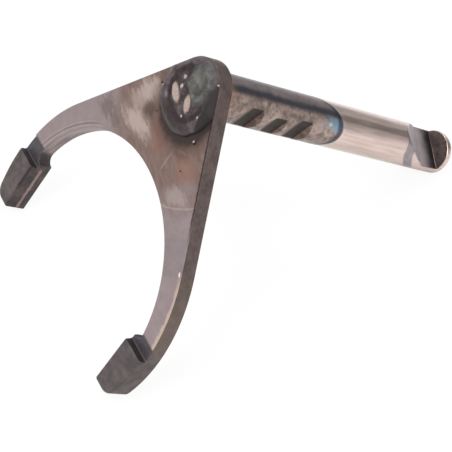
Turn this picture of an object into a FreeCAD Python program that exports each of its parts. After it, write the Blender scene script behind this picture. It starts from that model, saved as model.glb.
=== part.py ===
import FreeCAD, Part
import math
import os

import Sketcher
from FreeCAD import Placement, Rotation, Vector

# Gear selector fork of a manual gearbox: a thick steel fork plate, a round selector rod that
# passes through the plate's boss, and the weld bead that joins them on the plate's front face.
#
# All three pieces are drawn in the fork's own frame, in millimetres: the rod's axis is Z, the
# plate's front face is z = 0, the rod runs away towards -Z, and the jaw opens towards -Y.
# Each body's Placement then leans the fork over until it rests on both pad ends and the rim
# of the rod's far end, with the floor at z = 0.

os.makedirs("parts", exist_ok=True)
doc = FreeCAD.newDocument("SelectorFork")

# ---------------------------------------------------------------- driving sizes
SIZES = [
    # fork plate, with drops measured from the rod's axis towards the jaw
    ("plateThickness", 5.7, "plate behind the milled front face"),
    ("bossRadius", 11.1, "round end of the plate about the rod"),
    ("armOuterRadius", 55.4, "outer edge of each arm"),
    ("armOuterOffset", 3.0, "that arc's centre lies this far across the middle line"),
    ("armOuterDrop", 73.6, "drop of that centre"),
    ("jawRadius", 45.6, "round opening between the arms"),
    ("jawDrop", 77.0, "drop of the opening's centre"),
    ("jawCornerRadius", 3.0, "cutter radius where the opening meets each pad"),
    ("jawLedgeDrop", 70.3, "drop of the inner ledge above each pad"),
    ("padReach", 91.5, "drop of the pad ends"),
    ("padShoulderDrop", 71.8, "drop of the raised pads' shoulder"),
    ("padRaise", 2.5, "pads proud of the milled front face"),
    ("padStandIn", 4.7, "ridge of each pad inside the opening's radius"),
    ("padRidgeDepth", 2.2, "depth of that ridge behind the front face"),
    ("padFrontSlope", 0.8, "pad side falls back this much from ridge to front"),
    ("padBackSlope", 0.3, "and this much from ridge to back"),
    ("padTipRadius", 4.5, "outer corner of each pad end"),
    ("padInnerTipRadius", 1.8, "inner corner of each pad end"),
    ("padEdgeBreak", 0.9, "worn front edge of each pad"),
    ("reliefDepth", 0.5, "ground relief next to each shoulder"),
    ("reliefLeftDrop", 64.9, "drop where the left relief starts"),
    ("reliefRightDrop", 67.1, "drop where the right relief starts"),
    # selector rod, with lengths measured from the plate's front face
    ("rodRadius", 8.0, "rod"),
    ("rodLength", 125.9, "front face to far end"),
    ("rodEndChamfer", 1.3, "far end"),
    ("rodFit", 0.05, "radial clearance in the plate's bore"),
    ("detentTurn", -19.0, "degrees from +X to the detents' side"),
    ("detentFirst", 24.4, "wall of the first detent"),
    ("detentPitch", 11.9, "from each detent wall to the next"),
    ("detentFloor", 4.6, "flat bottom of each detent"),
    ("detentDepth", 2.3, "outer detents"),
    ("neutralDepth", 1.5, "middle detent"),
    ("detentRamp", 22.0, "degrees from the axis, side towards the plate"),
    ("detentWall", 65.0, "degrees from the axis, side towards the far end"),
    ("notchTurn", 63.0, "degrees from +X to the selector notch's side"),
    ("notchFloor", 0.9, "floor above the axis"),
    ("notchLength", 9.1, "floor along the axis"),
    ("notchRamp", 27.0, "degrees from the axis, lead-in ramp"),
    ("collarLength", 3.4, "end collar left beyond the notch"),
    # weld
    ("weldPrep", 1.5, "chamfers on rod and bore that the weld root fills"),
    ("weldRadius", 13.6, "toe of the bead"),
    ("weldDrop", 2.2, "bead centre, below the rod's axis"),
    ("weldMargin", 0.3, "toe stays this far inside the plate's outline"),
    ("weldRollRadius", 2.9, "rolled rim of the bead"),
    ("weldRollSink", 0.3, "rim centre behind the front face"),
    ("weldCrown", 3.2, "height of the cap over the rod's end"),
    ("weldCapRadius", 24.0, "curvature of that cap"),
]

sheet = doc.addObject("Spreadsheet::Sheet", "Sizes")
for row, (alias, value, note) in enumerate(SIZES, start=1):
    sheet.set(f"A{row}", alias)
    sheet.set(f"B{row}", str(value))
    sheet.set(f"C{row}", note)
    sheet.setAlias(f"B{row}", alias)
doc.recompute()


def size(formula):
    """Value of a formula on the sheet, to start a sketch from the right shape."""
    return float(sheet.evalExpression(formula))


# ---------------------------------------------------------------- sketch helpers
ORIGIN = (-1, 1)
VERTICAL_AXIS = -2
START, END, CENTRE = 1, 2, 3


def newSketch(body, role, name):
    """Sketch on one of the body's own origin planes."""
    sketch = body.newObject("Sketcher::SketchObject", name)
    plane = next(item for item in body.Origin.OriginFeatures if item.Role == role)
    sketch.AttachmentSupport = (plane, [""])
    sketch.MapMode = "FlatFace"
    return sketch


def bind(sketch, kind, name, formula, *where):
    """Driving dimension that follows the sheet; angles are in degrees."""
    value = size(formula)
    if kind == "Angle":
        value = math.radians(value)
    index = sketch.addConstraint(Sketcher.Constraint(kind, *where, value))
    sketch.renameConstraint(index, name)
    sketch.setExpression(f"Constraints.{name}", formula)


def relate(sketch, *constraints):
    """Geometric constraints, each given as its kind and its elements."""
    for kind, *where in constraints:
        sketch.addConstraint(Sketcher.Constraint(kind, *where))


def polygon(sketch, name, corners):
    """Closed straight-sided profile whose corners are (x formula, y formula)."""
    points = [Vector(size(x), size(y), 0) for x, y in corners]
    first = sketch.GeometryCount
    count = len(corners)
    for i, point in enumerate(points):
        sketch.addGeometry(Part.LineSegment(point, points[(i + 1) % count]), False)
    for i, (x, y) in enumerate(corners):
        relate(sketch, ("Coincident", first + i, END, first + (i + 1) % count, START))
        bind(sketch, "DistanceX", f"{name}X{i}", x, *ORIGIN, first + i, START)
        bind(sketch, "DistanceY", f"{name}Y{i}", y, *ORIGIN, first + i, START)


def arc(sketch, centre, radius, start, end):
    """Anticlockwise arc between two angles in degrees."""
    circle = Part.Circle(Vector(*centre, 0), Vector(0, 0, 1), radius)
    sketch.addGeometry(Part.ArcOfCircle(circle, math.radians(start), math.radians(end)), False)


def line(sketch, start, end):
    sketch.addGeometry(Part.LineSegment(Vector(*start, 0), Vector(*end, 0)), False)


def extrude(body, kind, name, sketch, formula, side="One side", reverse=False):
    """Pad or Pocket whose length follows the sheet."""
    feature = body.newObject(f"PartDesign::{kind}", name)
    feature.Profile = sketch
    feature.SideType = side
    feature.Reversed = reverse
    feature.setExpression("Length", formula)
    return feature


def turn(body, kind, name, sketch):
    """Full Revolution or Groove about the sketch's own vertical axis."""
    feature = body.newObject(f"PartDesign::{kind}", name)
    feature.Profile = sketch
    feature.ReferenceAxis = (sketch, ["V_Axis"])
    feature.Angle = 360
    return feature


# ---------------------------------------------------------------- fork plate
PAD_SIDE = "Sizes.jawRadius - Sizes.padStandIn"
# direction of each flank's outward normal, which is shared by the boss and the arm's outer arc
LEAN = ("(asin((Sizes.armOuterRadius - Sizes.bossRadius)"
        " / sqrt(Sizes.armOuterOffset * Sizes.armOuterOffset + Sizes.armOuterDrop * Sizes.armOuterDrop))"
        " - atan(Sizes.armOuterOffset / Sizes.armOuterDrop))")
FULL_DEPTH = "Sizes.plateThickness + Sizes.padRaise"


def drawHalfOutline(sketch):
    """Left half of the fork's outline, from the middle line round the boss to the pad end."""
    boss = size("Sizes.bossRadius")
    outer = size("Sizes.armOuterRadius")
    offset = size("Sizes.armOuterOffset")
    drop = size("Sizes.armOuterDrop")
    reach = size("Sizes.padReach")
    side = size(PAD_SIDE)
    tip = size("Sizes.padTipRadius")
    top = size("Sizes.jawLedgeDrop - Sizes.jawCornerRadius")
    lean = math.radians(size(LEAN))
    flank = 180 - math.degrees(lean)
    across = Vector(-math.cos(lean), math.sin(lean), 0)
    onBoss = across * boss
    onArm = across * outer + Vector(offset, -drop, 0)
    tipY = tip - reach
    tipX = offset - math.sqrt((outer - tip) ** 2 - (tipY + drop) ** 2)
    tipTurn = math.degrees(math.atan2(-tipY - drop, offset - tipX)) + 180
    arc(sketch, (0, 0), boss, 90, flank)
    line(sketch, onBoss[:2], onArm[:2])
    arc(sketch, (offset, -drop), outer, flank, tipTurn)
    arc(sketch, (tipX, tipY), tip, tipTurn, 270)
    line(sketch, (tipX, -reach), (-side, -reach))
    line(sketch, (-side, -reach), (-side, -top))
    line(sketch, (-side, -top), (0, -top))
    line(sketch, (0, -top), (0, boss))
    relate(
        sketch,
        ("Coincident", 0, CENTRE, *ORIGIN),
        ("Tangent", 0, END, 1, START),
        ("Tangent", 1, END, 2, START),
        ("Tangent", 2, END, 3, START),
        ("Tangent", 3, END, 4, START),
        ("Coincident", 4, END, 5, START),
        ("Coincident", 5, END, 6, START),
        ("Coincident", 6, END, 7, START),
        ("Coincident", 7, END, 0, START),
        ("Horizontal", 4),
        ("Vertical", 5),
        ("Horizontal", 6),
        ("PointOnObject", 7, START, VERTICAL_AXIS),
        ("PointOnObject", 7, END, VERTICAL_AXIS),
    )
    bind(sketch, "Radius", "boss", "Sizes.bossRadius", 0)
    bind(sketch, "Radius", "outer", "Sizes.armOuterRadius", 2)
    bind(sketch, "Radius", "tip", "Sizes.padTipRadius", 3)
    bind(sketch, "DistanceX", "outerX", "Sizes.armOuterOffset", *ORIGIN, 2, CENTRE)
    bind(sketch, "DistanceY", "outerY", "-Sizes.armOuterDrop", *ORIGIN, 2, CENTRE)
    bind(sketch, "DistanceY", "reach", "-Sizes.padReach", *ORIGIN, 4, START)
    bind(sketch, "DistanceX", "side", f"-({PAD_SIDE})", *ORIGIN, 5, START)
    bind(sketch, "DistanceY", "top", "Sizes.jawCornerRadius - Sizes.jawLedgeDrop", *ORIGIN, 6, START)


def drawJaw(sketch):
    """Round opening with a cutter radius down to a ledge on each side."""
    radius = size("Sizes.jawRadius")
    corner = size("Sizes.jawCornerRadius")
    drop = size("Sizes.jawDrop")
    ledge = size("Sizes.jawLedgeDrop")
    rise = drop - ledge + corner
    reach = math.sqrt((radius - corner) ** 2 - rise ** 2)
    touch = math.degrees(math.atan2(rise, reach))
    arc(sketch, (0, -drop), radius, touch, 180 - touch)
    arc(sketch, (reach, corner - ledge), corner, -90, touch)
    arc(sketch, (-reach, corner - ledge), corner, 180 - touch, 270)
    line(sketch, (-reach, -ledge), (reach, -ledge))
    relate(
        sketch,
        ("Tangent", 1, END, 0, START),
        ("Tangent", 0, END, 2, START),
        ("Tangent", 2, END, 3, START),
        ("Tangent", 3, END, 1, START),
        ("Equal", 1, 2),
        ("Horizontal", 3),
        ("PointOnObject", 0, CENTRE, VERTICAL_AXIS),
    )
    bind(sketch, "Radius", "radius", "Sizes.jawRadius", 0)
    bind(sketch, "Radius", "corner", "Sizes.jawCornerRadius", 1)
    bind(sketch, "DistanceY", "centre", "-Sizes.jawDrop", *ORIGIN, 0, CENTRE)
    bind(sketch, "DistanceY", "ledge", "-Sizes.jawLedgeDrop", *ORIGIN, 3, START)


def drawPadSide(sketch, name, sign):
    """Section cut away from a pad's inner side, which leaves a ridge along it."""
    side = f"{sign} * ({PAD_SIDE})"
    clear = f"{sign} * ({PAD_SIDE} - 1)"
    front = f"{side} + {sign} * Sizes.padFrontSlope"
    back = f"{side} + {sign} * Sizes.padBackSlope"
    polygon(sketch, name, [
        (clear, "Sizes.padRaise"),
        (front, "Sizes.padRaise"),
        (side, "-Sizes.padRidgeDepth"),
        (back, "-Sizes.plateThickness"),
        (clear, "-Sizes.plateThickness"),
    ])


def drawPadCorner(sketch, name, sign):
    """Waste outside the rounded inner corner of one pad's end, +1 right and -1 left."""
    side = sign * size(PAD_SIDE)
    radius = size("Sizes.padInnerTipRadius")
    reach = size("Sizes.padReach")
    first = sketch.GeometryCount
    start = 180 if sign > 0 else 270
    arc(sketch, (side + sign * radius, radius - reach), radius, start, start + 90)
    line(sketch, (side, radius - reach), (side, -reach))
    line(sketch, (side, -reach), (side + sign * radius, -reach))
    upper, lower = (START, END) if sign > 0 else (END, START)
    relate(
        sketch,
        ("Tangent", first, upper, first + 1, START),
        ("Coincident", first + 1, END, first + 2, START),
        ("Tangent", first + 2, END, first, lower),
        ("Vertical", first + 1),
        ("Horizontal", first + 2),
    )
    bind(sketch, "Radius", f"{name}Radius", "Sizes.padInnerTipRadius", first)
    bind(sketch, "DistanceX", f"{name}X", f"{sign} * ({PAD_SIDE})", *ORIGIN, first + 1, END)
    bind(sketch, "DistanceY", f"{name}Y", "-Sizes.padReach", *ORIGIN, first + 1, END)


def padRimEdges(shape):
    """Front edges of both raised pads, apart from the shoulder and the inner side."""
    front = size("Sizes.padRaise")
    shoulder = -size("Sizes.padShoulderDrop")
    side = size(PAD_SIDE + " + Sizes.padFrontSlope")
    names = []
    for i, edge in enumerate(shape.Edges, start=1):
        box = edge.BoundBox
        onFront = min(abs(box.ZMin - front), abs(box.ZMax - front)) < 1e-4 and box.ZLength < 1e-4
        onShoulder = box.YLength < 1e-4 and abs(box.YMin - shoulder) < 1e-4
        onSide = box.XLength < 1e-4 and abs(abs(box.XMin) - side) < 1e-4
        if onFront and not onShoulder and not onSide:
            names.append(f"Edge{i}")
    return names


def makeForkPlate():
    body = doc.addObject("PartDesign::Body", "ForkPlate")
    body.Label = "fork_plate"

    outline = newSketch(body, "XY_Plane", "HalfOutline")
    drawHalfOutline(outline)
    half = extrude(body, "Pad", "HalfPlate", outline, "Sizes.padRaise", "Two sides")
    half.setExpression("Length2", "Sizes.plateThickness")
    doc.recompute()
    whole = body.newObject("PartDesign::Mirrored", "BothHalves")
    whole.Originals = [half]
    whole.MirrorPlane = (outline, ["V_Axis"])
    body.Tip = whole
    doc.recompute()

    jaw = newSketch(body, "XY_Plane", "JawOutline")
    drawJaw(jaw)
    extrude(body, "Pocket", "Jaw", jaw, f"2 * ({FULL_DEPTH})", "Symmetric")

    front = newSketch(body, "XY_Plane", "MilledArea")
    polygon(front, "area", [
        ("-Sizes.armOuterRadius", "-Sizes.padShoulderDrop"),
        ("Sizes.armOuterRadius", "-Sizes.padShoulderDrop"),
        ("Sizes.armOuterRadius", "Sizes.bossRadius + 1"),
        ("-Sizes.armOuterRadius", "Sizes.bossRadius + 1"),
    ])
    extrude(body, "Pocket", "MilledFront", front, "Sizes.padRaise", reverse=True)

    relief = newSketch(body, "XY_Plane", "ReliefAreas")
    for name, edge in (("Left", "-Sizes.armOuterRadius"), ("Right", "Sizes.armOuterRadius")):
        polygon(relief, name.lower(), [
            ("0", "-Sizes.padShoulderDrop"),
            (edge, "-Sizes.padShoulderDrop"),
            (edge, f"-Sizes.relief{name}Drop"),
            ("0", f"-Sizes.relief{name}Drop"),
        ])
    extrude(body, "Pocket", "Reliefs", relief, "Sizes.reliefDepth")

    sides = newSketch(body, "XZ_Plane", "PadSides")
    sides.setExpression("AttachmentOffset.Base.z", "Sizes.jawLedgeDrop")
    drawPadSide(sides, "right", 1)
    drawPadSide(sides, "left", -1)
    sideLength = "Sizes.padReach - Sizes.jawLedgeDrop + 1"
    ridges = extrude(body, "Pocket", "PadRidges", sides, sideLength, reverse=True)
    doc.recompute()

    rims = body.newObject("PartDesign::Chamfer", "PadEdges")
    rims.Base = (ridges, padRimEdges(ridges.Shape))
    rims.setExpression("Size", "Sizes.padEdgeBreak")

    corners = newSketch(body, "XY_Plane", "PadCorners")
    drawPadCorner(corners, "right", 1)
    drawPadCorner(corners, "left", -1)
    extrude(body, "Pocket", "RoundedCorners", corners, f"2 * ({FULL_DEPTH})", "Symmetric")

    bore = newSketch(body, "XZ_Plane", "BoreSection")
    polygon(bore, "bore", [
        ("0", "1"),
        ("Sizes.rodRadius + Sizes.rodFit + Sizes.weldPrep + 1", "1"),
        ("Sizes.rodRadius + Sizes.rodFit", "-Sizes.weldPrep"),
        ("Sizes.rodRadius + Sizes.rodFit", "-Sizes.plateThickness - 1"),
        ("0", "-Sizes.plateThickness - 1"),
    ])
    turn(body, "Groove", "Bore", bore)
    return body


# ---------------------------------------------------------------- selector rod
def drawDetent(sketch, name, wall, depth):
    """Ramp down from the plate's side, a flat bottom and a steep wall."""
    surface = "Sizes.rodRadius + 1"
    bottom = f"Sizes.rodRadius - {depth}"
    rise = f"({depth} + 1)"
    floorStart = f"-({wall}) + Sizes.detentFloor"
    polygon(sketch, name, [
        (surface, f"{floorStart} + {rise} / tan(Sizes.detentRamp * 1deg)"),
        (bottom, floorStart),
        (bottom, f"-({wall})"),
        (surface, f"-({wall}) - {rise} / tan(Sizes.detentWall * 1deg)"),
    ])


def makeSelectorRod():
    body = doc.addObject("PartDesign::Body", "SelectorRod")
    body.Label = "selector_rod"

    profile = newSketch(body, "XZ_Plane", "RodSection")
    polygon(profile, "rod", [
        ("0", "0"),
        ("Sizes.rodRadius - Sizes.weldPrep", "0"),
        ("Sizes.rodRadius", "-Sizes.weldPrep"),
        ("Sizes.rodRadius", "Sizes.rodEndChamfer - Sizes.rodLength"),
        ("Sizes.rodRadius - Sizes.rodEndChamfer", "-Sizes.rodLength"),
        ("0", "-Sizes.rodLength"),
    ])
    turn(body, "Revolution", "RodBlank", profile)

    detents = newSketch(body, "XZ_Plane", "DetentSections")
    detents.AttachmentOffset = Placement(Vector(), Rotation(Vector(0, 1, 0), size("Sizes.detentTurn")))
    detents.setExpression("AttachmentOffset.Rotation.Angle", "Sizes.detentTurn")
    depths = ("Sizes.detentDepth", "Sizes.neutralDepth", "Sizes.detentDepth")
    for i, depth in enumerate(depths):
        drawDetent(detents, f"detent{i}", f"Sizes.detentFirst + {i} * Sizes.detentPitch", depth)
    extrude(body, "Pocket", "Detents", detents, "4 * Sizes.rodRadius", "Symmetric")

    notch = newSketch(body, "XZ_Plane", "NotchSection")
    notch.AttachmentOffset = Placement(Vector(), Rotation(Vector(0, 1, 0), size("Sizes.notchTurn")))
    notch.setExpression("AttachmentOffset.Rotation.Angle", "Sizes.notchTurn")
    wall = "Sizes.collarLength - Sizes.rodLength"
    foot = f"{wall} + Sizes.notchLength"
    polygon(notch, "notch", [
        ("Sizes.notchFloor", wall),
        ("Sizes.rodRadius + 1", wall),
        ("Sizes.rodRadius + 1",
         f"{foot} + (Sizes.rodRadius + 1 - Sizes.notchFloor) / tan(Sizes.notchRamp * 1deg)"),
        ("Sizes.notchFloor", foot),
    ])
    extrude(body, "Pocket", "SelectorNotch", notch, "4 * Sizes.rodRadius", "Symmetric")
    return body


# ---------------------------------------------------------------- weld bead
def drawBead(sketch):
    """Half section of the bead: flat seat, rolled rim, then the cap up to its crown."""
    toe = size("Sizes.weldRadius")
    roll = size("Sizes.weldRollRadius")
    sink = size("Sizes.weldRollSink")
    crown = size("Sizes.weldCrown")
    cap = size("Sizes.weldCapRadius")
    rollX = toe - math.sqrt(roll ** 2 - sink ** 2)
    # where the rim's circle and the cap's circle cross, on the inner side of the rim
    gap = math.hypot(rollX, crown - cap + sink)
    along = (cap ** 2 - roll ** 2 + gap ** 2) / (2 * gap)
    height = math.sqrt(cap ** 2 - along ** 2)
    unit = Vector(rollX / gap, (cap - crown - sink) / gap, 0)
    meet = Vector(0, crown - cap, 0) + unit * along + Vector(-unit.y, unit.x, 0) * height
    rollEnd = math.degrees(math.atan2(meet.y + sink, meet.x - rollX))
    capStart = math.degrees(math.atan2(meet.y - crown + cap, meet.x))
    line(sketch, (0, 0), (toe, 0))
    arc(sketch, (rollX, -sink), roll, math.degrees(math.asin(sink / roll)), rollEnd)
    arc(sketch, (0, crown - cap), cap, capStart, 90)
    line(sketch, (0, crown), (0, 0))
    relate(
        sketch,
        ("Coincident", 0, START, *ORIGIN),
        ("Coincident", 0, END, 1, START),
        ("Coincident", 1, END, 2, START),
        ("Coincident", 2, END, 3, START),
        ("Coincident", 3, END, 0, START),
        ("Horizontal", 0),
        ("Vertical", 3),
        ("PointOnObject", 2, CENTRE, VERTICAL_AXIS),
    )
    bind(sketch, "DistanceX", "toe", "Sizes.weldRadius", *ORIGIN, 0, END)
    bind(sketch, "Radius", "roll", "Sizes.weldRollRadius", 1)
    bind(sketch, "DistanceY", "sink", "-Sizes.weldRollSink", *ORIGIN, 1, CENTRE)
    bind(sketch, "Radius", "cap", "Sizes.weldCapRadius", 2)
    bind(sketch, "DistanceY", "crown", "Sizes.weldCrown", *ORIGIN, 3, START)


def drawTrim(sketch):
    """Ring whose inner edge keeps the bead a margin inside the boss and its flanks."""
    edge = size("Sizes.bossRadius - Sizes.weldMargin")
    below = size("Sizes.weldRadius + 1")
    drop = size("Sizes.weldDrop")
    lean = math.radians(size(LEAN))
    across = Vector(-math.cos(lean), math.sin(lean), 0)
    touch = across * edge
    # the flank runs on until it meets the circle that passes below the bead
    along = Vector(-math.sin(lean), -math.cos(lean), 0)
    apart = edge + drop * math.sin(lean)
    foot = across * apart + along * math.sqrt(below ** 2 - apart ** 2) + Vector(0, -drop, 0)
    turned = math.degrees(math.atan2(foot.y + drop, -foot.x))
    arc(sketch, (0, 0), edge, math.degrees(lean), 180 - math.degrees(lean))
    line(sketch, touch[:2], foot[:2])
    arc(sketch, (0, -drop), below, 180 - turned, 360 + turned)
    line(sketch, (-foot.x, foot.y), (-touch.x, touch.y))
    sketch.addGeometry(Part.Circle(Vector(), Vector(0, 0, 1), 2 * below), False)
    relate(
        sketch,
        ("Coincident", 0, CENTRE, *ORIGIN),
        ("Tangent", 0, END, 1, START),
        ("Coincident", 1, END, 2, START),
        ("Coincident", 2, END, 3, START),
        ("Tangent", 3, END, 0, START),
        ("Symmetric", 1, END, 3, START, VERTICAL_AXIS),
        ("Coincident", 4, CENTRE, *ORIGIN),
    )
    bind(sketch, "Radius", "edge", "Sizes.bossRadius - Sizes.weldMargin", 0)
    bind(sketch, "Angle", "flank", f"-90deg - {LEAN}", 1)
    bind(sketch, "Radius", "below", "Sizes.weldRadius + 1", 2)
    bind(sketch, "DistanceY", "drop", "-Sizes.weldDrop", *ORIGIN, 2, CENTRE)
    bind(sketch, "Radius", "far", "2 * (Sizes.weldRadius + 1)", 4)


def makeWeldBead():
    body = doc.addObject("PartDesign::Body", "WeldBead")
    body.Label = "weld_bead"

    bead = newSketch(body, "XZ_Plane", "BeadSection")
    bead.setExpression("AttachmentOffset.Base.z", "Sizes.weldDrop")
    drawBead(bead)
    turn(body, "Revolution", "Bead", bead)

    trim = newSketch(body, "XY_Plane", "TrimRing")
    drawTrim(trim)
    extrude(body, "Pocket", "TrimmedToBoss", trim, "4 * Sizes.weldCrown", "Symmetric")

    root = newSketch(body, "XZ_Plane", "RootSection")
    polygon(root, "root", [
        ("Sizes.rodRadius - Sizes.weldPrep", "0"),
        ("Sizes.rodRadius", "-Sizes.weldPrep"),
        ("Sizes.rodRadius + Sizes.rodFit", "-Sizes.weldPrep"),
        ("Sizes.rodRadius + Sizes.rodFit + Sizes.weldPrep", "0"),
    ])
    turn(body, "Revolution", "Root", root)
    return body


# ---------------------------------------------------------------- rest pose
# The tilt lays the back edge of the pad ends and the full-width rim of the rod on one plane.
TILT = ("atan((Sizes.rodLength - Sizes.rodEndChamfer - Sizes.plateThickness)"
        " / (Sizes.padReach - Sizes.rodRadius))")
LIFT = f"sin({TILT}) * Sizes.padReach + cos({TILT}) * Sizes.plateThickness"
FRONT_END = f"cos({TILT}) * Sizes.padReach + sin({TILT}) * Sizes.padRaise"
BACK_END = f"cos({TILT}) * (Sizes.rodRadius - Sizes.rodEndChamfer) + sin({TILT}) * Sizes.rodLength"


def lay(body):
    """Lean the piece with the others and centre the whole fork over the origin."""
    body.Placement = Placement(Vector(), Rotation(Vector(1, 0, 0), size(TILT)))
    body.setExpression("Placement.Rotation.Angle", TILT)
    body.setExpression("Placement.Base.y", f"({FRONT_END} - ({BACK_END})) / 2")
    body.setExpression("Placement.Base.z", LIFT)


bodies = [makeForkPlate(), makeSelectorRod(), makeWeldBead()]
for body in bodies:
    lay(body)
doc.recompute()

# ---------------------------------------------------------------- checks and export
for item in doc.Objects:
    if "Invalid" in item.State or "Error" in item.State:
        raise RuntimeError(f"{item.Label} failed: {item.State}")
for body in bodies:
    shape = body.Shape
    if shape.isNull() or not shape.isValid() or len(shape.Solids) != 1:
        raise RuntimeError(f"{body.Label} is not one valid solid")
    shape.exportStep(f"parts/{body.Label}.step")
    print(f"{body.Label}: {shape.Volume / 1000:.2f} cm3")
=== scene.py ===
import math

import bmesh
import bpy
import numpy as np
from mathutils import Euler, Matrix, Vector


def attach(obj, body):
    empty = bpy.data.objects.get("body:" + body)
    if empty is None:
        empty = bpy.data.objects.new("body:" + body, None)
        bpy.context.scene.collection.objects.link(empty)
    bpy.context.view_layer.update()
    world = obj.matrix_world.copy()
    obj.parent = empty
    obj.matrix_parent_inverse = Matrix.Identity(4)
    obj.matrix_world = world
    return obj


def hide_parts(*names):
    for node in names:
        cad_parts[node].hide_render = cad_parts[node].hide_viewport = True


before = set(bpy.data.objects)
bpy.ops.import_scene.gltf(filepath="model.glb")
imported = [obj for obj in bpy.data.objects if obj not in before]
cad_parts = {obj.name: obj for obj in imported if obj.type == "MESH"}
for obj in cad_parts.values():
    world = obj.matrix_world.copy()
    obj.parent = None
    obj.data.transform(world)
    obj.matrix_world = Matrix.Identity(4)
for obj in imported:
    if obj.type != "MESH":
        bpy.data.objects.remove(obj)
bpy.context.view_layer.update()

# Lengths are millimetres in the fork's own frame: +z out of the plate's front face, -z down
# the rod, +x to the right pad, -y to the jaw. lay leans that frame over onto the floor.
lay = {"tilt": 54.92075, "across": -26.125, "lift": 78.1556}
cosTilt = math.cos(math.radians(lay["tilt"]))
sinTilt = math.sin(math.radians(lay["tilt"]))


# rows of x, y, z in millimetres to metres on the floor: turn about x by tilt, then move
def toRow(points):
    x, y, z = points.T
    across = y * cosTilt - z * sinTilt + lay["across"]
    height = y * sinTilt + z * cosTilt + lay["lift"]
    return np.column_stack([x, across, height]) / 1000


# the way back, for numbers and for sockets
def fromRow(x, y, z):
    across = y * 1000 - lay["across"]
    height = z * 1000 - lay["lift"]
    return x * 1000, across * cosTilt + height * sinTilt, height * cosTilt - across * sinTilt


# x and y seen from axes turned by so many degrees, for numbers, arrays and sockets
def turned(x, y, degrees):
    c, s = math.cos(math.radians(degrees)), math.sin(math.radians(degrees))
    return x * c + y * s, y * c - x * s


def linear(value):  # display value 0..255 to linear light
    value = value / 255
    return value / 12.92 if value <= 0.04045 else ((value + 0.055) / 1.055) ** 2.4


def colour(shade):
    return (*[linear(value) for value in shade], 1)


class Num:  # a socket that takes part in Python sums
    def __init__(self, paint, socket):
        self.paint = paint
        self.socket = socket

    def maths(self, operation, *values):
        node = self.paint.node("ShaderNodeMath", {"operation": operation}, dict(enumerate(values)))
        return Num(self.paint, node.outputs[0])

    def __add__(self, other):
        return self.maths("ADD", self, other)

    def __sub__(self, other):
        return self.maths("SUBTRACT", self, other)

    def __rsub__(self, other):
        return self.maths("SUBTRACT", other, self)

    def __mul__(self, other):
        return self.maths("MULTIPLY", self, other)

    def __neg__(self):
        return self.maths("MULTIPLY", self, -1)

    def __abs__(self):
        return self.maths("ABSOLUTE", self)

    __radd__ = __add__
    __rmul__ = __mul__

    def root(self):
        return self.maths("SQRT", self)

    def most(self, other):
        return self.maths("MAXIMUM", self, other)

    def least(self, other):
        return self.maths("MINIMUM", self, other)

    def rise(self, low, high):  # 0 below low, 1 above high, smooth between
        settings = {"interpolation_type": "SMOOTHSTEP"}
        node = self.paint.node("ShaderNodeMapRange", settings, {0: self, 1: low, 2: high})
        return Num(self.paint, node.outputs[0])

    def band(self, low, high, soft):  # 1 from low to high, 0 beyond soft outside them
        return self.rise(low - soft, low) * (1 - self.rise(high, high + soft))


class Nodes:  # a node tree and the one way of adding to it
    def __init__(self, tree):
        self.tree = tree

    def node(self, kind, settings=None, inputs=None):
        node = self.tree.nodes.new(kind)
        for key, value in (settings or {}).items():
            setattr(node, key, value)
        for key, value in (inputs or {}).items():
            self.feed(node.inputs[key], value)
        return node

    def feed(self, slot, value):
        if isinstance(value, Num):
            value = value.socket
        if isinstance(value, bpy.types.NodeSocket):
            self.tree.links.new(value, slot)
        else:
            slot.default_value = value

    def split(self, socket):
        node = self.node("ShaderNodeSeparateXYZ", inputs={0: socket})
        return [Num(self, out) for out in node.outputs]

    def join(self, x, y, z):
        return self.node("ShaderNodeCombineXYZ", inputs={0: x, 1: y, 2: z}).outputs[0]


class Paint(Nodes):  # a material, with the fork's own coordinates to work out its masks from
    def __init__(self, name):
        self.material = bpy.data.materials.new(name)
        self.material.use_nodes = True
        super().__init__(self.material.node_tree)
        self.shader = self.tree.nodes["Principled BSDF"]
        coords = self.node("ShaderNodeTexCoord")
        self.x, self.y, self.z = fromRow(*self.split(coords.outputs["Object"]))
        self.drop = -self.y
        self.along = -self.z
        ny, nz = self.split(coords.outputs["Normal"])[1:]
        self.ny, self.nz = turned(ny, nz, lay["tilt"])
        self.place = self.join(self.x, self.y, self.z)

    def noise(self, grain, detail=3, rough=0.6, at=None):  # 0..1, blotches about grain mm across
        inputs = {
            "Vector": at or self.place, "Scale": 1 / grain, "Detail": detail, "Roughness": rough,
        }
        return Num(self, self.node("ShaderNodeTexNoise", inputs=inputs).outputs["Fac"])

    # distance in x, y from a point, on turned axes and in half lengths and half widths
    def reach(self, x, y, wide=1, high=1, turn=0):
        u, v = turned(self.x - x, self.y - y, turn)
        u, v = u * (1 / wide), v * (1 / high)
        return (u * u + v * v).root()

    def blend(self, share, under, over):
        under, over = [colour(c) if isinstance(c, tuple) else c for c in (under, over)]
        node = self.node("ShaderNodeMix", {"data_type": "RGBA"}, {0: share, 6: under, 7: over})
        return node.outputs[2]

    def mottle(self, noise, under, over, low=0.3, high=0.7):
        return self.blend(noise.rise(low, high), under, over)

    def finish(self, colours, metallic, roughness, height=None, strength=0.2, depth=0.0001):
        self.feed(self.shader.inputs["Base Color"], colours)
        self.feed(self.shader.inputs["Metallic"], metallic)
        self.feed(self.shader.inputs["Roughness"], roughness)
        if height is not None:
            inputs = {"Height": height, "Strength": strength, "Distance": depth}
            bump = self.node("ShaderNodeBump", inputs=inputs)
            self.feed(self.shader.inputs["Normal"], bump.outputs["Normal"])
        return self.material


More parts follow.
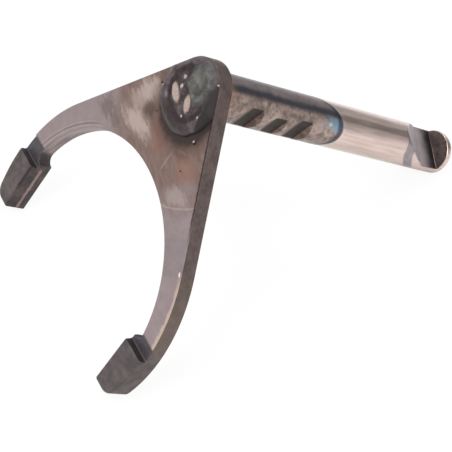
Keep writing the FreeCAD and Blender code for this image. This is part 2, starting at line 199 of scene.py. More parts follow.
# quads of a grid given row by row, whose columns wrap round
def gridFaces(rows, columns):
    r, c = np.meshgrid(np.arange(rows - 1), np.arange(columns), indexing="ij")
    here, after = r * columns, (r + 1) * columns
    nextColumn = (c + 1) % columns
    corners = [here + c, after + c, after + nextColumn, here + nextColumn]
    return np.stack(corners, -1).reshape(-1, 4)


def newPiece(name, points, faces):
    mesh = bpy.data.meshes.new(name)
    mesh.from_pydata(toRow(points).tolist(), [], faces)
    mesh.update()
    mesh.polygons.foreach_set("use_smooth", np.ones(len(mesh.polygons), bool))
    return link(name, mesh)


def link(name, mesh):
    piece = bpy.data.objects.new(name, mesh)
    bpy.context.scene.collection.objects.link(piece)
    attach(piece, "root")
    return piece


def wear(piece, material):
    piece.data.materials.clear()
    piece.data.materials.append(material)


# how near in metres two corners are one, and under how many degrees two faces are one
rounding = {"near": 2e-6, "flat": 0.4, "segments": 2}


# A copy of a CAD node with its edges over corner degrees rounded, or left sharp where share is 0;
# share gives the part of width for the edge at a place.
def softened(node, name, width, corner, share):
    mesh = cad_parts[node].data.copy()
    shape = bmesh.new()
    shape.from_mesh(mesh)
    bmesh.ops.remove_doubles(shape, verts=shape.verts, dist=rounding["near"])
    flat = math.radians(rounding["flat"])
    bmesh.ops.dissolve_limit(shape, angle_limit=flat, verts=shape.verts, edges=shape.edges)
    weight = shape.edges.layers.float.new("bevel_weight_edge")
    for edge in shape.edges:
        if len(edge.link_faces) == 2 and edge.calc_face_angle() > math.radians(corner):
            edge[weight] = share((edge.verts[0].co + edge.verts[1].co) / 2)
            edge.smooth = edge[weight] > 0
    shape.to_mesh(mesh)
    shape.free()
    mesh.polygons.foreach_set("use_smooth", np.ones(len(mesh.polygons), bool))
    piece = link(name, mesh)
    bevel = piece.modifiers.new("roundedEdges", "BEVEL")
    bevel.width = width
    bevel.segments = rounding["segments"]
    bevel.limit_method = "WEIGHT"
    bevel.use_clamp_overlap = False
    bevel.miter_outer = "MITER_ARC"
    piece.modifiers.new("faceNormals", "WEIGHTED_NORMAL").keep_sharp = True
    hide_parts(node)
    return piece


# Ground steel face browned by the weld's heat, rolled scale on the rim, dark pads, darker on their
# faces inside the jaw.
plate = {
    # widest rounding in metres, and over how many degrees an edge counts as one
    "edge": 0.0005, "corner": 28,
    "sharpBehind": -5.6, "wornBelow": -71,
    "jaw": (0, -77), "arm": (-3, -73.6), "flankLean": 34.6, "weldMiddle": (1.2, -4.2),
    "steel": (145, 131, 133), "steelLight": (161, 147, 148),
    "stain": (120, 99, 92), "stainLight": (140, 119, 111), "stainReach": 42,
    # from, to, share and colour of the rings burnt round the weld
    "burnt": [(16, 21, 0.5, (98, 74, 65)), (13, 16.5, 0.9, (50, 41, 41))],
    "heatArc": (38.7, 38.8), "arc": (208, 194, 190),
    # radii about the jaw's middle, and x where each line is whole and where it has gone
    "cutterArcs": [((46.6, 46.8), (-30, -22)), ((48.0, 48.1), (-33, -26))],
    "cutterGroove": ((47.1, 47.6), (-33, -24)), "groove": (104, 92, 94),
    "farArm": (48.5, 60), "farSteel": (118, 108, 112),
    "chip": (41.6, -42.6, 1.0, 0.5, -50), "chipSteel": (240, 228, 218),
    "rubbedFrom": (53.9, 54.6), "rubbed": (206, 184, 168),
    # where the painted shade along the right flank starts, and its colour
    "flankShadeFrom": (10.2, 10.6), "flankShade": (44, 33, 31),
    "scale": (72, 61, 60), "scaleLight": (103, 90, 87),
    "bossScale": (64, 54, 54), "armScale": (112, 98, 84),
    "jawWall": (45.8, 46.3), "wall": (112, 99, 99), "wallLight": (152, 139, 139),
    # top of the relief on the left arm, and how much lower it is on the right one
    "reliefTop": 64.9, "reliefStep": 2.2,
    "relief": (74, 72, 82), "reliefDark": (60, 55, 60), "reliefEdge": (78, 54, 54),
    "padRim": (69.3, 71.6), "padFace": (71.6, 71.8),
    "pad": (66, 60, 61), "padLight": (93, 84, 83),
    "padInside": (34, 29, 30), "padInsideLight": (76, 61, 57),
    "ridgeZ": (-2.5, -1.9), "ridge": (164, 138, 131),
    "creaseZ": (1.3, 2.1), "creaseX": (41.8, 42.3), "creaseShade": (34, 28, 29),
    "shoulderDrop": (71.3, 72.2), "shoulderZ": (-0.7, 2.1), "shoulder": (22, 20, 22),
    # x, y, half length, half width, turn, colour, share
    "spots": [
        (-16.6, -14.6, 6.2, 5.2, 45, (188, 171, 164), 0.9),
        (-19.2, -20.0, 4.6, 4.0, 20, (178, 161, 154), 0.7),
        (-13.5, -25.4, 10.0, 3.8, 7, (187, 170, 163), 0.9),
        (-12.0, -18.2, 3.6, 3.0, 0, (88, 72, 67), 0.8),
        (-29.5, -32.0, 4.5, 3.8, 0, (108, 92, 88), 0.6),
        (-22.5, -32.6, 4.0, 2.6, 20, (112, 94, 89), 0.5),
        (-1.0, -20.5, 7.0, 5.0, -40, (142, 107, 93), 0.75),
        (10.5, -16.5, 5.0, 4.0, -10, (112, 84, 74), 0.6),
        (17.3, -20.0, 6.4, 4.4, -20, (152, 114, 98), 0.6),
        (22.6, -22.6, 5.0, 2.4, 30, (148, 138, 145), 0.5),
        (20.6, -28.0, 6.0, 3.2, 25, (174, 160, 156), 0.7),
        (7.8, -23.2, 5.2, 0.45, 92, (182, 164, 156), 0.35),
        (11.0, -17.2, 3.8, 0.45, 22, (172, 152, 144), 0.35),
    ],
}


# back edges stay sharp, the pads are worn roundest
def plateShare(place):
    x, y, z = fromRow(*place)
    if z < plate["sharpBehind"]:
        return 0.0
    return 1.0 if y < plate["wornBelow"] else 0.5


def plateSteel():
    p = Paint("plateSteel")
    blot = p.noise(11, 4)
    cloud = p.noise(4, 4)
    fine = p.noise(1.2, 4, 0.7)
    grain = p.noise(0.35, 2)
    onFace = abs(p.nz).rise(0.55, 0.8)
    inJaw = (1 - p.reach(*plate["jaw"]).rise(*plate["jawWall"])) * p.drop.rise(25, 32)
    rimDrop = p.drop + inJaw * 3.6  # pads start higher up inside the jaw
    pad = rimDrop.rise(*plate["padRim"]) * (1 - onFace) + p.drop.rise(*plate["padFace"]) * onFace
    out = p.blend(onFace, plateRim(p, cloud, fine, inJaw), plateFace(p, blot, cloud, fine))
    out = platePads(p, out, cloud, fine, onFace, inJaw, pad)
    dull = pad.least(1)
    rough = 0.4 + cloud * 0.14 + dull * 0.1
    return p.finish(out, 0.55 - dull * 0.2, rough, fine * 0.7 + grain * 0.3, 0.22, 0.00008)


def plateFace(p, blot, cloud, fine):
    fromRod, fromJaw = p.reach(0, 0), p.reach(*plate["jaw"])
    wobble = (blot - 0.5) * 9 + (cloud - 0.5) * 5
    brushed = p.join(p.x * 0.45 - p.y * 0.1, p.x * 0.4 + p.y * 1.5, p.z)
    brush = p.noise(2.6, 4, 0.6, brushed)
    light = cloud.rise(0.3, 0.7) * 0.5 + fine.rise(0.3, 0.7) * 0.3
    face = p.blend(light, plate["steel"], plate["steelLight"])
    heat = 1 - (fromRod + wobble).rise(plate["stainReach"] - 9, plate["stainReach"] + 3)
    face = p.blend(heat, face, p.mottle(brush, plate["stain"], plate["stainLight"]))
    for x, y, wide, high, turn, shade, share in plate["spots"]:
        spot = p.reach(x, y, wide, high, turn) + (brush - 0.5) * 2.2 + (fine - 0.5) * 0.5
        face = p.blend((1 - spot.rise(0.4, 1.25)) * share, face, shade)
    nearWeld = p.reach(*plate["weldMiddle"]) + (cloud - 0.5) * 4
    for whole, gone, share, shade in plate["burnt"]:
        face = p.blend((1 - nearWeld.rise(whole, gone)) * share, face, shade)
    # pale arcs left by the heat on the right arm and by the cutter beside the jaw on the left
    arcs = (fromRod + (blot - 0.5) * 1.5).band(*plate["heatArc"], 0.45) * p.x.rise(12, 17)
    for radii, side in plate["cutterArcs"]:
        arcs = arcs.most(cutterLine(p, fromJaw, radii, side))
    face = p.blend(arcs * (0.1 + cloud * 0.35), face, plate["arc"])
    groove = cutterLine(p, fromJaw, *plate["cutterGroove"])
    face = p.blend(groove * 0.4, face, plate["groove"])
    farArm = fromRod.band(*plate["farArm"], 0.8) * p.x.rise(18, 22)
    face = p.blend(farArm * 0.2, face, plate["farSteel"])
    face = p.blend(1 - p.reach(*plate["chip"]).rise(0.6, 1), face, plate["chipSteel"])
    # bright rubbed strip along the right arm's outer edge, painted shade along the flank above it
    rubbed = (p.reach(*plate["arm"]) + (cloud - 0.5) * 2.4).rise(*plate["rubbedFrom"])
    rubbed = rubbed * p.drop.band(47, 71, 6) * p.x.rise(0, 5)
    face = p.blend(rubbed * 0.7, face, plate["rubbed"])
    flank = turned(p.x, p.y, plate["flankLean"])[0]
    flankShade = (flank + (fine - 0.5) * 1.2).rise(*plate["flankShadeFrom"])
    flankShade = flankShade * (1 - p.drop.rise(27, 36)) * p.x.rise(0, 2)
    return p.blend(flankShade * 0.9, face, plate["flankShade"])


def cutterLine(p, fromJaw, radii, side):
    return fromJaw.band(*radii, 0.3) * (1 - p.x.rise(*side))


# rolled scale all round, and the jaw's turned wall, scored along the cut
def plateRim(p, cloud, fine, inJaw):
    light = cloud.rise(0.3, 0.7) * 0.6 + fine.rise(0.35, 0.7) * 0.4
    rim = p.blend(light, plate["scale"], plate["scaleLight"])
    rim = p.blend((1 - p.drop.rise(0, 12)) * 0.15, rim, plate["bossScale"])
    rim = p.blend(p.drop.band(50, 64, 10) * 0.25, rim, plate["armScale"])
    scores = p.noise(0.9, 3, 0.6, p.join(p.x * 0.08, p.y * 0.08, p.z))
    wall = p.mottle(scores, plate["wall"], plate["wallLight"], 0.38, 0.6)
    return p.blend(inJaw * 0.85, rim, wall)


# dark relief above each pad, then the pad itself with a painted highlight along its ridge, painted
# shade in its crease and a painted shadow on its shoulder wall
def platePads(p, out, cloud, fine, onFace, inJaw, pad):
    below = p.drop - (p.x.rise(-1, 1) * plate["reliefStep"] + plate["reliefTop"])
    relief = below.rise(-0.15, 0.15) * p.z.band(-3, -0.35, 0.1) * onFace
    out = p.blend(below.band(-0.5, 0.1, 0.3) * onFace * 0.5, out, plate["reliefEdge"])
    out = p.blend(relief * 0.9, out, p.mottle(cloud, plate["relief"], plate["reliefDark"]))
    steel = p.mottle(cloud, plate["pad"], plate["padLight"], 0.35)
    out = p.blend(pad.least(1) * 0.96, out, steel)
    inside = pad * inJaw * (1 - onFace)
    # the pads' faces inside the jaw darker
    innerDarker = p.mottle(cloud, plate["padInside"], plate["padInsideLight"], 0.4)
    out = p.blend(inside * 0.6, out, innerDarker)
    # painted highlight: a pale line along the pads' ridge inside the jaw
    ridge = (p.z + (fine - 0.5) * 0.9).band(*plate["ridgeZ"], 0.45) * p.drop.rise(71.5, 73)
    out = p.blend(ridge * inside * (0.2 + cloud * 0.7), out, plate["ridge"])
    # painted shade: a dark line along the pads' crease inside the jaw
    creaseShade = p.z.rise(*plate["creaseZ"]) * (1 - abs(p.x).rise(*plate["creaseX"]))
    creaseShade = creaseShade * (p.drop.rise(71.5, 72.5) - p.drop.rise(79, 86))
    out = p.blend(creaseShade * inJaw * 0.8, out, plate["creaseShade"])
    # painted shadow: near black on the pads' shoulder wall
    shoulder = p.ny.rise(0.6, 0.8) * p.drop.band(*plate["shoulderDrop"], 0.2)
    return p.blend(shoulder * p.z.band(*plate["shoulderZ"], 0.3) * 0.85, out, plate["shoulder"])


# Oxidised from the plate to about half way, polished beyond; painted shade in the cuts and the
# notch, a painted reflection along the oxide.
rod = {
    "edge": 0.0003, "corner": 15, "sharp": (2, 122), "body": (7.66, 7.82),
    "polish": (186, 167, 161), "polishLight": (200, 182, 175),
    "scuffs": (67, 80), "scuff": (128, 106, 96), "rustSpots": (94, 99), "rust": (104, 82, 76),
    # where the oxide ends, and the turn and rate at which that line draws back round the rod
    "oxideEnd": 63.4, "oxideTurn": 18, "oxideBend": 0.0011, "oxideMost": 11.5,
    "oxide": (100, 87, 81), "oxideLight": (152, 134, 126), "oxidePale": (172, 155, 146),
    "oxideDark": (84, 66, 58), "oxideBlue": (84, 78, 84), "oxideBlueLight": (112, 102, 106),
    "darkReflection": (42, 46, 54), "blue": (112, 146, 170), "endLine": (40, 42, 56),
    "paleSpot": (57.3, 31), "pale": (206, 198, 190), "brown": (184, 138, 112),
    "temper": (222, 208, 200),
    # end of each detent's flat bottom along the rod, and the bottom's length
    "detents": (24.4, 36.3, 48.2), "floor": 4.6,
    "ramp": (112, 98, 90), "rampLight": (150, 134, 122),
    "bottom": (14, 16, 19), "bottomLight": (40, 36, 36),
    "wall": (96, 78, 70), "wallLight": (142, 120, 110),
    # where the stain at the notch starts along the rod, and how much further on underneath
    "crescentStart": 99.3, "crescentDraw": 7.4,
    "crescent": (78, 82, 98), "crescentLight": (122, 120, 128),
    "notch": (99, 122.2), "notchDark": (114, 121), "notchShadow": (30, 26, 28),
    "notchRamp": (140, 134, 138), "notchRampLight": (168, 156, 158),
    "collar": (66, 57, 57), "collarLight": (102, 88, 85), "collarSpot": (40, 32, 32),
}


# only the ends are rounded, the detents stay sharp
def rodShare(place):
    start, end = rod["sharp"]
    return 0.0 if start < -fromRow(*place)[2] < end else 1.0


def rodSteel():
    p = Paint("rodSteel")
    turn = p.y.maths("ARCTAN2", p.y, p.x) * (180 / math.pi)
    blot = p.noise(5, 5, 0.65)
    cloud = p.noise(2.2, 4)
    fine = p.noise(0.8, 4, 0.7)
    streak = p.noise(2, 3, 0.5, p.join(p.x * 2, p.y * 2, p.z * 0.2))
    onBody = p.reach(0, 0).rise(*rod["body"])
    offTurn = turn - rod["oxideTurn"]
    drawn = (offTurn * offTurn * rod["oxideBend"]).least(rod["oxideMost"])
    edge = p.along + drawn + (blot - 0.5) * 1.2
    dark = 1 - edge.rise(rod["oxideEnd"] - 0.3, rod["oxideEnd"] + 0.6)
    out = p.blend(dark, rodPolish(p, turn, streak), rodOxide(p, turn, edge, blot, cloud, fine))
    out = p.blend(edge.band(64.2, 64.5, 0.3) * 0.3, out, rod["temper"])
    out = p.blend((1 - onBody) * p.along.band(10, 54, 1), out, rodDetents(p, cloud, fine))
    out = rodNotch(p, out, turn, onBody, blot, cloud)
    metallic = 0.9 - dark * 0.3 - (1 - onBody) * 0.35
    rough = 0.22 + dark * 0.1 + streak * 0.05 + (1 - onBody) * 0.4
    return p.finish(out, metallic, rough, cloud * 0.6 + fine * 0.4, 0.08, 0.00006)


def rodPolish(p, turn, streak):
    out = p.mottle(streak, rod["polish"], rod["polishLight"], 0.35, 0.65)
    scuff = p.noise(1.6, 5, 0.75).rise(0.6, 0.68)
    scuff = scuff * p.along.band(*rod["scuffs"], 4) * turn.band(-35, -12, 12)
    out = p.blend(scuff * 0.45, out, rod["scuff"])
    rust = p.noise(1.5, 4, 0.7).rise(0.6, 0.68)
    rust = rust * p.along.band(*rod["rustSpots"], 2) * turn.band(20, 45, 8)
    return p.blend(rust * 0.6, out, rod["rust"])


def rodOxide(p, turn, edge, blot, cloud, fine):
    out = p.mottle(cloud, rod["oxide"], rod["oxideLight"])
    out = p.blend(blot.rise(0.5, 0.62) * 0.6, out, rod["oxidePale"])
    patches = p.noise(1.5, 4, 0.7).rise(0.56, 0.64) * turn.band(-30, 18, 10)
    out = p.blend(patches * 0.5, out, rod["oxideDark"])
    under = p.blend(cloud, rod["oxideBlue"], rod["oxideBlueLight"])
    out = p.blend(turn.rise(40, 58) * 0.75, out, under)
    # painted reflection: a dark stripe along the rod's top, where it mirrors the dark strip behind
    # the fork
    darkReflection = (turn + (blot - 0.5) * 14).band(58, 62, 14) * p.along.rise(3, 9)
    out = p.blend(darkReflection * 0.85, out, rod["darkReflection"])
    blue = (edge + (cloud - 0.5) * 6).band(60.5, 62.5, 8)
    blue = blue * (turn + (cloud - 0.5) * 30).band(27, 42, 16)
    out = p.blend(blue * 0.8, out, rod["blue"])
    out = p.blend(edge.band(62.0, 64, 1.6) * 0.8, out, rod["endLine"])
    fromPlace, fromTurn = edge - rod["paleSpot"][0], turn - rod["paleSpot"][1]
    ragged = turn + (fine - 0.5) * 16 - rod["paleSpot"][1]
    pale = 1 - (fromPlace * fromPlace * 0.8 + ragged * fromTurn * 0.03).rise(0.3, 1)
    out = p.blend(pale * 0.55, out, rod["pale"])
    # brown by the plate, where the weld has tempered it
    tint = (1 - (p.along + (blot - 0.5) * 5).rise(6.5, 12)) * (0.3 + cloud * 0.8).least(1)
    return p.blend(tint * (0.55 + turn.rise(10, 30) * 0.3), out, rod["brown"])


# each cut: a ramp that darkens with painted shade towards a near black bottom, then a brown wall
def rodDetents(p, cloud, fine):
    cuts = p.mottle(cloud, rod["ramp"], rod["rampLight"])
    bottomSteel = p.blend(fine, rod["bottom"], rod["bottomLight"])
    wallSteel = p.mottle(cloud, rod["wall"], rod["wallLight"])
    for end in rod["detents"]:
        start = end - rod["floor"]
        # painted shade: each cut darkens towards its bottom
        bottom = (p.along + (cloud - 0.5) * 1.6).rise(start - 3.2, start + 1.2)
        bottom = bottom * (1 - p.along.rise(end + 0.1, end + 0.5))
        cuts = p.blend(bottom * 0.9, cuts, bottomSteel)
        cuts = p.blend(p.along.band(end + 0.3, end + 1.8, 0.3), cuts, wallSteel)
    return cuts


# stain where the notch's ramp starts, the notch with painted shadow darkening it towards the
# collar, and the collar beyond it
def rodNotch(p, out, turn, onBody, blot, cloud):
    start = rod["crescentStart"] + (1 - turn.rise(-58, 10)) * rod["crescentDraw"]
    past = p.along - start
    crescent = past.rise(-0.3, 0.3) * (1 - past.rise(4.6, 5.4)) * turn.band(-62, 75, 3)
    stain = p.mottle(cloud, rod["crescent"], rod["crescentLight"])
    out = p.blend(crescent * onBody * 0.75, out, stain)
    ramp = p.blend(cloud, rod["notchRamp"], rod["notchRampLight"])
    # painted shadow: the notch's floor darkening towards the collar wall
    notchShadowMask = (p.along + (blot - 0.5) * 4).rise(*rod["notchDark"])
    notch = (1 - onBody) * p.along.band(*rod["notch"], 0.2)
    out = p.blend(notch, out, p.blend(notchShadowMask, ramp, rod["notchShadow"]))
    collar = (1 - onBody) * p.along.rise(122.3, 122.5) * (1 - p.along.rise(122.6, 122.9))
    disc = p.mottle(cloud, rod["collar"], rod["collarLight"])
    disc = p.blend(p.noise(1.4, 3).rise(0.64, 0.68) * 0.8, disc, rod["collarSpot"])
    return p.blend(collar, out, disc)


# One lumpy pass round the rod: a rolled outer ring, a moat, and slag over the rod's end.
weld = {
    "centre": (-0.4, -2.2), "toe": 13.75, "margin": 0.2, "boss": 11.1, "seat": -0.05, "top": 3.18,
    "rings": 110, "spokes": 360,
    "toeWaves": [(0.22, 5, 1), (0.12, 13, 0)],  # size, count and start of each
    "ringWidth": 2.7, "ringHeight": 2.05, "moat": 0.75, "middle": 2.0,
    # middle and half axes of the slag, and the line it is cut off along: x, y, turn
    "slag": (2.2, 3.4), "slagWide": 6.7, "slagHigh": 7.9, "slagRise": 1.05,
    "slagCut": (-3.5, 0.4, 24.5),
    # x, y, half length, half width, turn of each flat facet between the ring and the slag, painted
    # pale as a painted highlight
    "facets": [(-4.7, -5.4, 4.1, 1.9, -26), (2.5, -4.2, 3.3, 1.8, -53)],
    "facetHeight": 2.15, "facetTilt": 0.1,
    # x, y, radius, height
    "bubbles": [
        (-3.8, -2.1, 1.0, 0.5), (-5.7, 0.5, 0.9, 0.35), (3.3, -8.8, 0.6, 0.4),
        (9.7, -4.0, 0.6, 0.4), (7.7, 8.2, 0.6, 0.4), (-11.6, -7.8, 0.5, 0.3),
        (13.1, -10.9, 0.5, 0.0),
    ],
    "dark": (58, 47, 48), "metal": (112, 99, 101), "speck": (150, 132, 128),
    "ring": (80, 70, 72), "ringLight": (108, 97, 101), "moatBlack": (40, 32, 33),
    "low": (54, 44, 45), "toeDark": (44, 37, 39), "beadShadow": (20, 13, 13), "bubbleHighlight": (196, 182, 174),
    "facetHighlight": (168, 148, 140), "facetHighlightPale": (204, 184, 174),
    "slagDark": (50, 52, 51), "slagLight": (106, 105, 101), "slagEdge": (58, 51, 54),
}


# distance from the bead's centre to its toe: the toe radius, cut short by the boss and flanks
def toeReach(turn):
    cx, cy = weld["centre"]
    edge = weld["boss"] - weld["margin"]
    ux, uy = np.cos(turn), np.sin(turn)
    reach = weld["toe"]
    for size, count, start in weld["toeWaves"]:
        reach = reach + size * np.sin(count * turn + start)
    lean = math.radians(plate["flankLean"])
    for side in (1, -1):
        nx, ny = side * math.cos(lean), math.sin(lean)
        towards = ux * nx + uy * ny
        flank = (edge - cx * nx - cy * ny) / np.maximum(towards, 1e-3)
        reach = np.where(towards > 1e-3, np.minimum(reach, flank), reach)
    b = cx * ux + cy * uy
    circle = -b + np.sqrt(b * b - (cx * cx + cy * cy - edge * edge))
    hit = np.degrees(np.arctan2(cy + circle * uy, cx + circle * ux))
    above = (hit > plate["flankLean"]) & (hit < 180 - plate["flankLean"])
    return np.where(above, np.minimum(reach, circle), reach)


def ease(value, low, high):
    t = np.clip((value - low) / (high - low), 0, 1)
    return t * t * (3 - 2 * t)


def lumps(x, y, size, seed):  # sum of crossed sines, about -1..1
    a, b = x / size + seed, y / size - seed
    broad = np.sin(a + 1.7 * np.sin(0.7 * b)) * np.cos(1.1 * b + np.sin(1.3 * a))
    return (broad + 0.5 * np.sin(2.3 * a + b) * np.cos(1.9 * b - a)) / 1.5


# how far a place lies below the line that cuts the slag off, for arrays and sockets
def belowCut(x, y):
    cutX, cutY, degrees = weld["slagCut"]
    across, down = math.sin(math.radians(degrees)), math.cos(math.radians(degrees))
    return (x - cutX) * -across - (y - cutY) * down


# height over the plate: half-round ring at the toe, moat inside it, middle, slag dome, facets
def weldBead():
    rings, spokes = weld["rings"], weld["spokes"]
    t = np.linspace(0, 1, rings)[:, None] ** 0.8
    turn = np.linspace(0, 2 * math.pi, spokes, endpoint=False)[None, :]
    toe = toeReach(turn)
    radius = t * toe
    inward = toe - radius
    x = weld["centre"][0] + radius * np.cos(turn)
    y = weld["centre"][1] + radius * np.sin(turn)
    half = weld["ringWidth"] * (1 + 0.12 * np.sin(3 * turn))
    ring = weld["ringHeight"] * np.sqrt(np.clip(1 - ((inward - half) / half) ** 2, 0, 1))
    past = ease(inward, half, 2.1 * half)
    z = np.where(inward < half, ring, weld["ringHeight"] - past * weld["moat"])
    climb = weld["middle"] - weld["ringHeight"] + weld["moat"]
    z = z + ease(inward, 1.9 * half, 3.2 * half) * climb
    z = z + 0.16 * lumps(x, y, 1.5, 2) * ease(inward, 0.5, 3)
    z = z + slagDome(x, y) * ease(inward, 0.4, 2.4)
    for fx, fy, wide, high, angle in weld["facets"]:
        u, v = turned(x - fx, y - fy, angle)
        u, v = u / wide, v / high
        inside = 1 - ease(np.hypot(u, v), 0.75, 1.1)
        z = z * (1 - inside) + (weld["facetHeight"] + weld["facetTilt"] * u) * inside
    for bx, by, wide, rise in weld["bubbles"]:
        z = z + rise * np.clip(1 - ((x - bx) ** 2 + (y - by) ** 2) / wide ** 2, 0, 1) ** 0.6
    z = np.minimum(z, weld["top"])
    z[-1] = 0.0
    seat = np.stack([x[-1], y[-1], np.full(spokes, weld["seat"])], -1)
    points = np.vstack([np.stack([x, y, z], -1).reshape(-1, 3), seat])
    last = rings * spokes
    under = [list(range(last + spokes - 1, last - 1, -1))]
    # the first ring is all one point, so one face closes the second
    faces = gridFaces(rings + 1, spokes)[spokes:].tolist()
    top = [list(range(spokes, 2 * spokes))]
    return newPiece("weldBead", points, faces + top + under)


# an oval dome, cut off below a line, with fine lumps on it
def slagDome(x, y):
    slagX, slagY = weld["slag"]
    slag = np.hypot((x - slagX) / weld["slagWide"], (y - slagY) / weld["slagHigh"])
    slag = np.maximum(slag, 1 + belowCut(x, y) / 5) + 0.08 * lumps(x, y, 2.2, 5)
    crust = 0.14 * lumps(x, y, 0.9, 8) * (1 - ease(slag, 0.8, 1))
    return weld["slagRise"] * (1 - ease(slag, 0.72, 1.02)) + crust


def weldMetal():
    p = Paint("weldMetal")
    blot = p.noise(2.4, 4)
    fine = p.noise(0.7, 4, 0.7)
    fromCentre = p.reach(*weld["centre"])
    uneven = fromCentre + (blot - 0.5)
    out = p.blend(blot.rise(0.4, 0.7) * 0.6, weld["dark"], weld["metal"])
    out = p.blend(fine.rise(0.62, 0.7) * 0.5, out, weld["speck"])
    ring = p.mottle(blot, weld["ring"], weld["ringLight"], 0.35, 0.65)
    out = p.blend(uneven.band(10.4, 12.8, 1.3) * 0.75, out, ring)
    out = p.blend(uneven.band(8.2, 9.4, 0.9) * 0.7, out, weld["moatBlack"])
    out = p.blend((1 - p.y.rise(-13, -7)) * 0.85, out, weld["low"])
    toe = (fromCentre + (blot - 0.5) * 0.6).rise(13.0, 13.7)
    out = p.blend(toe * 0.8, out, weld["toeDark"])
    # painted highlight: the flat facets painted pale
    for x, y, wide, high, turn in weld["facets"]:
        spot = 1 - (p.reach(x, y, wide, high, turn) + (fine + blot - 1) * 0.7).rise(0.65, 1.05)
        out = p.blend(spot * 0.95, out, p.mottle(fine, weld["facetHighlight"], weld["facetHighlightPale"]))
    slag = p.reach(*weld["slag"], weld["slagWide"], weld["slagHigh"])
    slag = slag.most(1 + belowCut(p.x, p.y) * 0.2) + (blot - 0.5) * 0.3
    isSlag = 1 - slag.rise(0.88, 1.0)
    mottle = p.noise(3.4, 3).rise(0.35, 0.65) * 0.6 + fine.rise(0.35, 0.75) * 0.4
    out = p.blend(isSlag, out, p.blend(mottle, weld["slagDark"], weld["slagLight"]))
    out = p.blend(slag.band(0.8, 0.96, 0.1) * 0.6, out, weld["slagEdge"])
    # painted shadow where the bead turns down to the plate's right edge
    beadShadow = (p.x * 0.82 + p.y * 0.2 + (blot - 0.5) * 1.6).rise(6.9, 8.2)
    out = p.blend(beadShadow * 0.95, out, weld["beadShadow"])
    # painted highlight: pale tops on the bubbles and on the droplet listed with them
    for x, y, wide, _ in weld["bubbles"]:
        out = p.blend((1 - p.reach(x, y, wide, wide).rise(0.6, 0.95)) * 0.8, out, weld["bubbleHighlight"])
    metallic = (0.45 - isSlag * 0.35) * (1 - beadShadow)
    rough = 0.36 + isSlag * 0.14 + fine * 0.12 + beadShadow * 0.3
    return p.finish(out, metallic, rough, fine * 0.5 + blot * 0.5, 0.35, 0.0002)


spatter = {
    # x, y and radius of each droplet thrown on the plate
    "drops": [
        (13.2, -11.2, 0.8), (19.6, -9.6, 0.35), (-14.4, -8.8, 0.45),
        (15.6, -21.4, 0.3), (-8.8, -16.4, 0.3),
    ],
    "rows": 8, "columns": 16, "flatness": 0.8, "sunk": -0.25,
}


# low domes: radius times cos u out from the middle, flatness times radius times sin u up
def spatterDrops():
    rows, columns = spatter["rows"], spatter["columns"]
    u = np.linspace(spatter["sunk"], math.pi / 2 - 0.05, rows)[:, None]
    v = np.linspace(0, 2 * math.pi, columns, endpoint=False)[None, :]
    x, y, z = np.cos(u) * np.cos(v), np.cos(u) * np.sin(v), spatter["flatness"] * np.sin(u)
    dome = np.stack(np.broadcast_arrays(x, y, z), -1).reshape(-1, 3)
    count = rows * columns
    points, faces = [], []
    for i, (x, y, radius) in enumerate(spatter["drops"]):
        points.append(dome * radius + (x, y, 0))
        faces += (gridFaces(rows, columns)[:, ::-1] + i * count).tolist()
        faces.append(list(range(i * count + columns - 1, i * count - 1, -1)))
        faces.append(list(range((i + 1) * count - columns, (i + 1) * count)))
    return newPiece("spatter", np.vstack(points), faces)


wear(softened("fork_plate", "forkPlate", plate["edge"], plate["corner"], plateShare), plateSteel())
wear(softened("selector_rod", "selectorRod", rod["edge"], rod["corner"], rodShare), rodSteel())
print("fork plate and rod dressed")
bead = weldBead()
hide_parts("weld_bead")
metal = weldMetal()
wear(bead, metal)
drops = spatterDrops()
wear(drops, metal)
print("weld and spatter made")


studio = {
    "floorRadius": 0.26, "floor": (242, 242, 242), "floorGlow": 0.9,
    # brightness round the fork, and how much of it the dark strip takes away
    "sky": 0.62, "strip": 0.56,
    "stripUp": (-0.06, 0.16, 0.04), "stripBehind": (0.3, 0.5), "stripSide": (-0.08, 0.22, 0.12),
    "stripTail": (-0.4, 0), "tailShare": 0.3,
    # place, size, power, colour of each lamp
    "lamps": [
        ((0.1, -0.5, 0.9), 0.6, 6, (1.0, 0.97, 0.95)),
        ((0.8, 0.3, 0.6), 0.5, 4, (1.0, 0.96, 0.92)),
        ((-0.5, 0.3, 0.8), 0.5, 3, (0.95, 0.97, 1.0)),
    ],
    "aim": (0, 0, 0.03),
    "lens": 119.5, "sensor": 36,
    "camera": (0.310682, -0.184284, 0.411135), "cameraTurn": (41.1373, -2.4181, 63.7277),
}


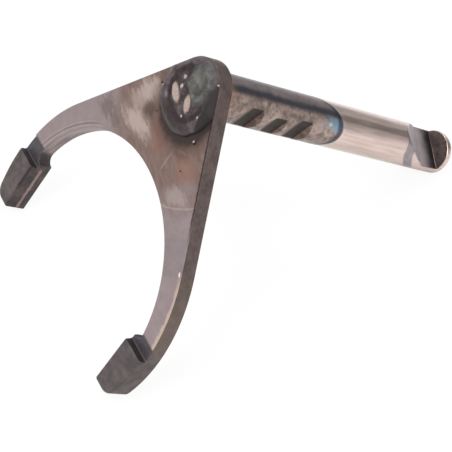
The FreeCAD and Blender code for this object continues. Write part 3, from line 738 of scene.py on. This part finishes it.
# pale floor that keeps a faint shadow and looks white to the camera
def paleFloor():
    radius = studio["floorRadius"]
    bpy.ops.mesh.primitive_circle_add(vertices=96, radius=radius, fill_type="NGON")
    floor = bpy.context.object
    floor.name = "floor"
    p = Paint("paleFloor")
    p.finish(colour(studio["floor"]), 0, 0.9)
    path = p.node("ShaderNodeLightPath")
    glow = p.node("ShaderNodeEmission", inputs={"Color": (1, 1, 1, 1), "Strength": 1})
    seen = Num(p, path.outputs["Is Camera Ray"]) * studio["floorGlow"]
    shaders = {0: seen, 1: p.shader.outputs[0], 2: glow.outputs[0]}
    mix = p.node("ShaderNodeMixShader", inputs=shaders)
    p.feed(p.tree.nodes["Material Output"].inputs["Surface"], mix.outputs[0])
    wear(floor, p.material)


# bright all round, with a dark strip upright behind the fork for the rod to mirror
def softWorld():
    world = bpy.data.worlds.new("studio")
    world.use_nodes = True
    bpy.context.scene.world = world
    p = Nodes(world.node_tree)
    coords = p.node("ShaderNodeTexCoord")
    x, y, z = p.split(coords.outputs["Generated"])
    tail = (1 - x.rise(*studio["stripTail"])) * studio["tailShare"]
    strip = z.band(*studio["stripUp"]) * y.rise(*studio["stripBehind"])
    strip = strip * (x.band(*studio["stripSide"]) + tail)
    seen = Num(p, p.node("ShaderNodeLightPath").outputs["Is Camera Ray"])
    level = (studio["sky"] - strip * studio["strip"]) * (1 - seen) + seen
    background = p.tree.nodes["Background"]
    p.feed(background.inputs["Color"], (1, 1, 1, 1))
    p.feed(background.inputs["Strength"], level)


def softLamp(place, size, power, tint):
    data = bpy.data.lights.new("softLamp", "AREA")
    data.shape = "DISK"
    data.size = size
    data.energy = power
    data.color = tint
    light = bpy.data.objects.new("softLamp", data)
    light.location = place
    aim = Vector(studio["aim"]) - Vector(place)
    light.rotation_euler = aim.to_track_quat("-Z", "Y").to_euler()
    bpy.context.scene.collection.objects.link(light)


def lookingDown():
    data = bpy.data.cameras.new("camera")
    data.lens = studio["lens"]
    data.sensor_width = studio["sensor"]
    camera = bpy.data.objects.new("camera", data)
    camera.location = studio["camera"]
    camera.rotation_euler = Euler([math.radians(angle) for angle in studio["cameraTurn"]])
    bpy.context.scene.collection.objects.link(camera)
    bpy.context.scene.camera = camera


paleFloor()
softWorld()
for lamp in studio["lamps"]:
    softLamp(*lamp)
lookingDown()
bpy.context.scene.view_settings.view_transform = "Standard"
print("floor, light and camera placed")
